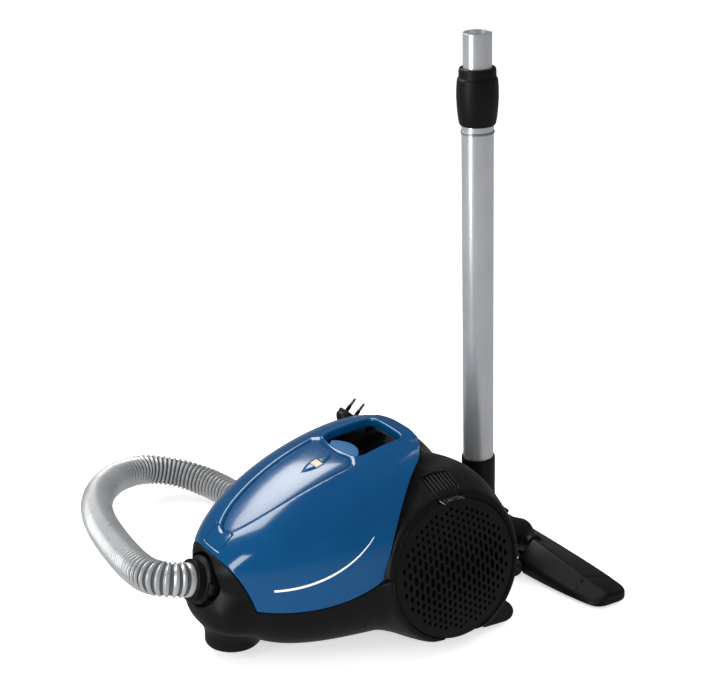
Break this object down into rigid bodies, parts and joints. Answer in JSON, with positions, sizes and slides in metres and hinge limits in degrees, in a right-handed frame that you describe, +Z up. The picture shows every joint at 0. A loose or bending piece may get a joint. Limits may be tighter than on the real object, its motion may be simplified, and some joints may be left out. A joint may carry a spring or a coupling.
{
  "type": "canister vacuum cleaner",
  "caption": "Compact canister vacuum cleaner with hinged blue lid, swivel hose, retracting cord reel, castors and a parked telescopic wand with floor nozzle.",
  "frame": {"origin": "on the floor, at the middle of the footprint of everything but the hose and its handle", "axes": "+Z up, -Y towards the nose and hose inlet, +X the machine's left side"},
  "size_m": [0.5791, 0.5562, 0.6582],
  "materials": {
    "housing": "black moulded plastic with a fine grain",
    "lid": "deep blue gloss plastic",
    "button": "light blue satin plastic",
    "stripe": "white gloss plastic",
    "indicator": "cream satin plastic",
    "trim": "dark grey plastic",
    "rubber": "soft black rubber",
    "hose": "satin grey flexible plastic",
    "tube": "bright plated steel tube",
    "steel": "plain steel",
    "paper": "paper",
    "foam": "open foam",
    "board": "circuit board",
    "copper": "copper windings",
    "bristle": "stiff bristle"
  },
  "bodies": {
    "machine": {"lower_housing": "housing", "rear_housing": "housing", "lid_hinge_pin": "steel", "left_lid_seal": "rubber", "right_lid_seal": "rubber", "right_grille": "housing", "exhaust_filter": "foam", "grip_ribs": "trim", "dust_bag": "paper", "bag_holder": "trim", "motor_filter": "foam", "inlet_tube": "trim", "inlet_seal": "rubber", "motor_shell": "trim", "motor_stator": "copper", "motor_mount": "rubber", "reel_axle": "steel", "reel_spring_case": "steel", "control_board": "board", "cord_outlet": "trim", "plug": "housing", "hose": "hose", "hose_handle": "housing"},
    "lid": {"lid": "lid", "lid_top_panel": "lid", "bag_indicator": "indicator", "lid_stripe_left": "stripe", "lid_stripe_right": "stripe", "button_frame": "housing"},
    "lid_catch": {"lid_catch": "lid"},
    "power_button": {"power_button": "button"},
    "left_grille": {"left_grille": "housing"},
    "grille_latch": {"grille_latch": "housing"},
    "castor_fork": {"castor_fork": "trim"},
    "castor_wheels": {"castor_wheels": "rubber"},
    "left_rear_wheel": {"left_rear_wheel": "rubber"},
    "right_rear_wheel": {"right_rear_wheel": "rubber"},
    "hose_connector": {"hose_connector": "housing"},
    "left_hose_latch": {"left_hose_latch": "trim"},
    "right_hose_latch": {"right_hose_latch": "trim"},
    "bypass_slider": {"bypass_slider": "trim"},
    "motor_rotor": {"motor_rotor": "steel"},
    "cord_reel": {"reel_drum": "trim", "reel_cord": "rubber"},
    "neck": {"nozzle_elbow": "housing"},
    "wand": {"nozzle_socket": "housing", "lower_tube": "tube", "tube_sleeve": "trim", "tube_ring": "tube"},
    "upper_tube": {"upper_tube": "tube"},
    "slide_collar": {"slide_collar": "housing"},
    "nozzle": {"nozzle_body": "housing", "sole_plate": "steel", "nozzle_hinge_pin": "steel"},
    "left_nozzle_wheel": {"left_nozzle_wheel": "rubber"},
    "right_nozzle_wheel": {"right_nozzle_wheel": "rubber"},
    "rocker_pedal": {"rocker_pedal": "trim"},
    "brush_frame": {"brush_frame": "bristle"}
  },
  "joints": [
    {"name": "lid_open", "type": "hinge", "parent": "machine", "child": "lid", "pos_m": [0, 0.0179, 0.206], "axis": [-1, 0, 0], "range_deg": [0, 70]},
    {"name": "lid_catch_lift", "type": "hinge", "parent": "lid", "child": "lid_catch", "pos_m": [0, -0.2021, 0.1505], "axis": [-1, 0, 0], "range_deg": [0, 20], "stiffness_Nm_per_rad": 0.4, "springref_deg": -5.73},
    {"name": "power_button_press", "type": "slide", "parent": "lid", "child": "power_button", "axis": [0, 0, -1], "range_m": [0, 0.002], "stiffness_N_per_m": 600, "springref_m": -0.002},
    {"name": "left_grille_pull", "type": "slide", "parent": "machine", "child": "left_grille", "axis": [0.9851, 0, 0.1719], "range_m": [0, 0.04]},
    {"name": "grille_latch_lift", "type": "slide", "parent": "machine", "child": "grille_latch", "axis": [0, 0, 1], "range_m": [0, 0.003], "stiffness_N_per_m": 500, "springref_m": -0.002},
    {"name": "castor_swivel", "type": "hinge", "parent": "machine", "child": "castor_fork", "pos_m": [0, -0.1961, 0.036], "axis": [0, 0, 1], "continuous": true},
    {"name": "castor_roll", "type": "hinge", "parent": "castor_fork", "child": "castor_wheels", "pos_m": [0, -0.1881, 0.014], "axis": [1, 0, 0], "continuous": true},
    {"name": "left_wheel_roll", "type": "hinge", "parent": "machine", "child": "left_rear_wheel", "pos_m": [0.112, 0.0839, 0.014], "axis": [1, 0, 0], "continuous": true},
    {"name": "right_wheel_roll", "type": "hinge", "parent": "machine", "child": "right_rear_wheel", "pos_m": [-0.112, 0.0839, 0.014], "axis": [1, 0, 0], "continuous": true},
    {"name": "hose_swivel", "type": "hinge", "parent": "machine", "child": "hose_connector", "pos_m": [0, -0.2141, 0.092], "axis": [0, -0.9659, 0.2588], "continuous": true},
    {"name": "left_hose_latch_press", "type": "slide", "parent": "hose_connector", "child": "left_hose_latch", "axis": [-1, 0, 0], "range_m": [0, 0.002], "stiffness_N_per_m": 500, "springref_m": -0.002},
    {"name": "right_hose_latch_press", "type": "slide", "parent": "hose_connector", "child": "right_hose_latch", "axis": [1, 0, 0], "range_m": [0, 0.002], "stiffness_N_per_m": 500, "springref_m": -0.002},
    {"name": "bypass_slide", "type": "slide", "parent": "machine", "child": "bypass_slider", "axis": [-0.7742, 0.6329, 0], "range_m": [0, 0.011]},
    {"name": "motor_spin", "type": "hinge", "parent": "machine", "child": "motor_rotor", "pos_m": [0.047, 0.0139, 0.09], "axis": [1, 0, 0], "continuous": true},
    {"name": "reel_spin", "type": "hinge", "parent": "machine", "child": "cord_reel", "pos_m": [-0.07, 0.0139, 0.09], "axis": [1, 0, 0], "continuous": true},
    {"name": "wand_unpark", "type": "slide", "parent": "machine", "child": "neck", "axis": [0, 0, 1], "range_m": [0, 0.05]},
    {"name": "wand_twist", "type": "hinge", "parent": "neck", "child": "wand", "pos_m": [0, 0.14337, 0.09864], "axis": [0, -0.0358, 0.9994], "range_deg": [-90, 90]},
    {"name": "upper_tube_slide", "type": "slide", "parent": "wand", "child": "upper_tube", "axis": [0, -0.0358, 0.9994], "range_m": [-0.03, 0.18]},
    {"name": "slide_collar_press", "type": "slide", "parent": "wand", "child": "slide_collar", "axis": [0, 0.0358, -0.9994], "range_m": [0, 0.006], "stiffness_N_per_m": 800, "springref_m": -0.003},
    {"name": "nozzle_tilt", "type": "hinge", "parent": "neck", "child": "nozzle", "pos_m": [0, 0.2099, 0.027], "axis": [1, 0, 0], "range_deg": [-42, 10]},
    {"name": "left_nozzle_wheel_roll", "type": "hinge", "parent": "nozzle", "child": "left_nozzle_wheel", "pos_m": [0.036, 0.1739, 0.01], "axis": [1, 0, 0], "continuous": true},
    {"name": "right_nozzle_wheel_roll", "type": "hinge", "parent": "nozzle", "child": "right_nozzle_wheel", "pos_m": [-0.036, 0.1739, 0.01], "axis": [1, 0, 0], "continuous": true},
    {"name": "rocker_press", "type": "slide", "parent": "nozzle", "child": "rocker_pedal", "axis": [0, 0, -1], "range_m": [0, 0.003]},
    {"name": "brush_drop", "type": "slide", "parent": "nozzle", "child": "brush_frame", "axis": [0, 0, -1], "range_m": [0, 0.003]}
  ],
  "couplings": [
    {"joint": "rocker_press", "follows": "brush_drop", "ratio": 1}
  ]
}
